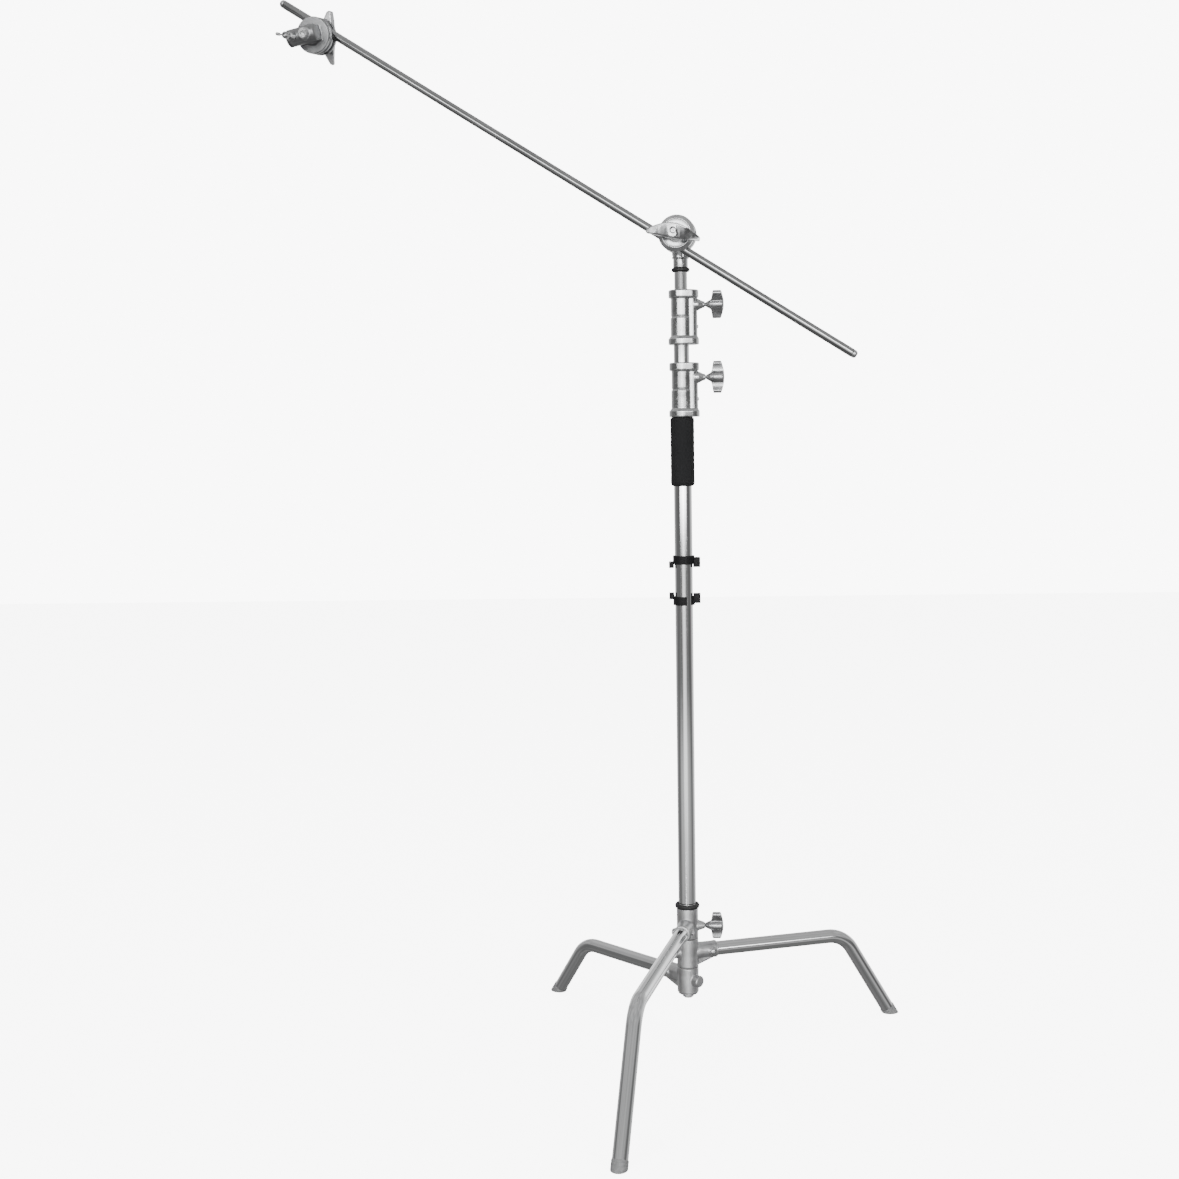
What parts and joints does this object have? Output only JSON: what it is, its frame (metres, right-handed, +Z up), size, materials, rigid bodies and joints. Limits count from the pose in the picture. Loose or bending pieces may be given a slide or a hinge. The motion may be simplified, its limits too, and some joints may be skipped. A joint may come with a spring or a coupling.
{
  "type": "c stand",
  "caption": "Folding three-leg stand with a telescoping column, clamp collars, and a tilting arm held between grip heads",
  "frame": {"origin": "on the floor, under the middle of the box round the whole stand", "axes": "+Z up along the column, +X to the right in the picture, +Y away from the camera"},
  "size_m": [1.2225, 0.8542, 2.0769],
  "materials": {
    "polished_tube": "polished chrome plate on steel tube, faint drawing lines along its length",
    "casting": "satin plated die casting with a slight grain",
    "handle_casting": "bright cast handle with worn edges",
    "steel": "plated steel, turned",
    "rubber": "matt black rubber",
    "foam": "fine closed-cell black foam",
    "black_plastic": "moulded black plastic",
    "foot_plastic": "grey moulded cap, scuffed below",
    "nylon": "natural nylon"
  },
  "bodies": {
    "base": {"base_socket": "casting", "front_leg_tube": "polished_tube", "front_leg_foot": "foot_plastic", "front_leg_bolt": "steel", "hub_spindle": "steel", "hub_tie_bolt": "steel", "hub_washer": "steel", "hub_nut": "steel", "lower_thrust_washer": "nylon", "upper_thrust_washer": "nylon", "base_o_ring": "rubber"},
    "right_leg": {"right_leg_bracket": "casting", "right_leg_tube": "polished_tube", "right_leg_foot": "foot_plastic", "right_leg_bolt": "steel"},
    "left_leg": {"left_leg_bracket": "casting", "left_leg_tube": "polished_tube", "left_leg_foot": "foot_plastic", "left_leg_bolt": "steel"},
    "base_screw": {"base_knob": "handle_casting"},
    "column": {"column_tube": "polished_tube", "column_spigot": "steel", "foam_grip": "foam", "column_collar": "casting", "column_collar_bush": "nylon"},
    "column_brake": {"column_collar_shoe": "nylon"},
    "column_screw": {"column_collar_knob": "handle_casting"},
    "upper_cord_clip": {"upper_clip": "black_plastic"},
    "lower_cord_clip": {"lower_clip": "black_plastic"},
    "riser_1": {"riser_1_tube": "polished_tube", "riser_1_end_plug": "nylon", "riser_collar": "casting", "riser_collar_bush": "nylon"},
    "riser_brake": {"riser_collar_shoe": "nylon"},
    "riser_screw": {"riser_collar_knob": "handle_casting"},
    "riser_2": {"riser_2_tube": "polished_tube", "riser_2_end_plug": "nylon", "riser_o_ring": "rubber", "stand_stud": "steel"},
    "arm": {"arm_tube": "polished_tube", "arm_left_tip": "steel", "arm_right_tip": "steel"},
    "head_1_body": {"head_1_mount": "casting", "head_1_bolt": "steel", "head_1_friction_washer": "rubber"},
    "head_1_lock": {"head_1_stud_screw": "handle_casting"},
    "head_1_back_jaw": {"head_1_inner_jaw": "casting", "head_1_spring": "steel"},
    "head_1_front_jaw": {"head_1_outer_jaw": "casting", "head_1_thrust_washer": "steel"},
    "head_1_grip": {"head_1_handle": "handle_casting"},
    "head_2_body": {"head_2_mount": "casting", "head_2_bolt": "steel", "head_2_friction_washer": "rubber"},
    "head_2_lock": {"head_2_stud_screw": "handle_casting"},
    "head_2_back_jaw": {"head_2_inner_jaw": "casting", "head_2_spring": "steel"},
    "head_2_front_jaw": {"head_2_outer_jaw": "casting", "head_2_thrust_washer": "steel"},
    "head_2_grip": {"head_2_handle": "handle_casting"}
  },
  "joints": [
    {"name": "right_leg_swing", "type": "hinge", "parent": "base", "child": "right_leg", "pos_m": [0.1711, 0.1562, 0.177], "axis": [0, 0, 1], "range_deg": [-120, 0]},
    {"name": "left_leg_swing", "type": "hinge", "parent": "base", "child": "left_leg", "pos_m": [0.1711, 0.1562, 0.127], "axis": [0, 0, 1], "range_deg": [0, 120]},
    {"name": "base_screw_turn", "type": "hinge", "parent": "base", "child": "base_screw", "pos_m": [0.2081, 0.1562, 0.231], "axis": [1, 0, 0], "range_deg": [0, 720]},
    {"name": "column_lift", "type": "slide", "parent": "base", "child": "column", "axis": [0, 0, 1], "range_m": [0, 0.12]},
    {"name": "column_brake_slide", "type": "slide", "parent": "column", "child": "column_brake", "axis": [1, 0, 0], "range_m": [0, 0.003]},
    {"name": "column_screw_turn", "type": "hinge", "parent": "column_brake", "child": "column_screw", "pos_m": [0.2206, 0.1562, 1.3222], "axis": [1, 0, 0], "range_deg": [0, 720]},
    {"name": "upper_clip_slide", "type": "slide", "parent": "column", "child": "upper_cord_clip", "axis": [0, 0, 1], "range_m": [-0.02, 0.12]},
    {"name": "lower_clip_slide", "type": "slide", "parent": "column", "child": "lower_cord_clip", "axis": [0, 0, 1], "range_m": [-0.5, 0.02]},
    {"name": "riser_1_slide", "type": "slide", "parent": "column", "child": "riser_1", "axis": [0, 0, 1], "range_m": [-0.034, 0.85]},
    {"name": "riser_brake_slide", "type": "slide", "parent": "riser_1", "child": "riser_brake", "axis": [1, 0, 0], "range_m": [0, 0.003]},
    {"name": "riser_screw_turn", "type": "hinge", "parent": "riser_brake", "child": "riser_screw", "pos_m": [0.2206, 0.1562, 1.4612], "axis": [1, 0, 0], "range_deg": [0, 720]},
    {"name": "riser_2_slide", "type": "slide", "parent": "riser_1", "child": "riser_2", "axis": [0, 0, 1], "range_m": [-0.033, 0.85]},
    {"name": "head_1_pan", "type": "hinge", "parent": "riser_2", "child": "head_1_body", "pos_m": [0.1711, 0.1562, 1.5903], "axis": [0, 0, 1], "continuous": true},
    {"name": "head_1_lock_turn", "type": "hinge", "parent": "head_1_body", "child": "head_1_lock", "pos_m": [0.17514, 0.18492, 1.5633], "axis": [0.1392, 0.9903, 0], "range_deg": [0, 720]},
    {"name": "arm_pitch", "type": "hinge", "parent": "head_1_body", "child": "head_1_back_jaw", "pos_m": [0.1711, 0.1562, 1.5903], "axis": [0.1392, 0.9903, 0], "range_deg": [-82, 20]},
    {"name": "head_1_jaw_open", "type": "slide", "parent": "head_1_back_jaw", "child": "head_1_front_jaw", "axis": [-0.1392, -0.9903, 0], "range_m": [0, 0.0036]},
    {"name": "head_1_grip_turn", "type": "hinge", "parent": "head_1_front_jaw", "child": "head_1_grip", "pos_m": [0.16235, 0.09391, 1.5903], "axis": [-0.1392, -0.9903, 0], "range_deg": [0, 720]},
    {"name": "arm_slide", "type": "slide", "parent": "head_1_back_jaw", "child": "arm", "axis": [0.8324, -0.117, -0.5417], "range_m": [-0.36, 0.45]},
    {"name": "head_2_roll", "type": "hinge", "parent": "arm", "child": "head_2_back_jaw", "pos_m": [0.15528, 0.11369, 1.57517], "axis": [0.8324, -0.117, -0.5417], "continuous": true},
    {"name": "head_2_jaw_open", "type": "slide", "parent": "head_2_back_jaw", "child": "head_2_front_jaw", "axis": [0.2302, 0.9621, 0.146], "range_m": [0, 0.0036]},
    {"name": "head_2_grip_turn", "type": "hinge", "parent": "head_2_front_jaw", "child": "head_2_grip", "pos_m": [-0.53041, 0.23171, 2.0061], "axis": [0.2302, 0.9621, 0.146], "range_deg": [0, 720]},
    {"name": "head_2_swivel", "type": "hinge", "parent": "head_2_back_jaw", "child": "head_2_body", "pos_m": [-0.54489, 0.17119, 1.99692], "axis": [-0.2302, -0.9621, -0.146], "continuous": true},
    {"name": "head_2_lock_turn", "type": "hinge", "parent": "head_2_body", "child": "head_2_lock", "pos_m": [-0.57745, 0.15003, 1.98906], "axis": [-0.2302, -0.9621, -0.146], "range_deg": [0, 720]}
  ],
  "couplings": [
    {"joint": "column_brake_slide", "follows": "column_screw_turn", "m_per_rad": 0.00023873},
    {"joint": "riser_brake_slide", "follows": "riser_screw_turn", "m_per_rad": 0.00023873},
    {"joint": "head_1_jaw_open", "follows": "head_1_grip_turn", "m_per_rad": 0.00027852},
    {"joint": "head_2_jaw_open", "follows": "head_2_grip_turn", "m_per_rad": 0.00027852}
  ]
}
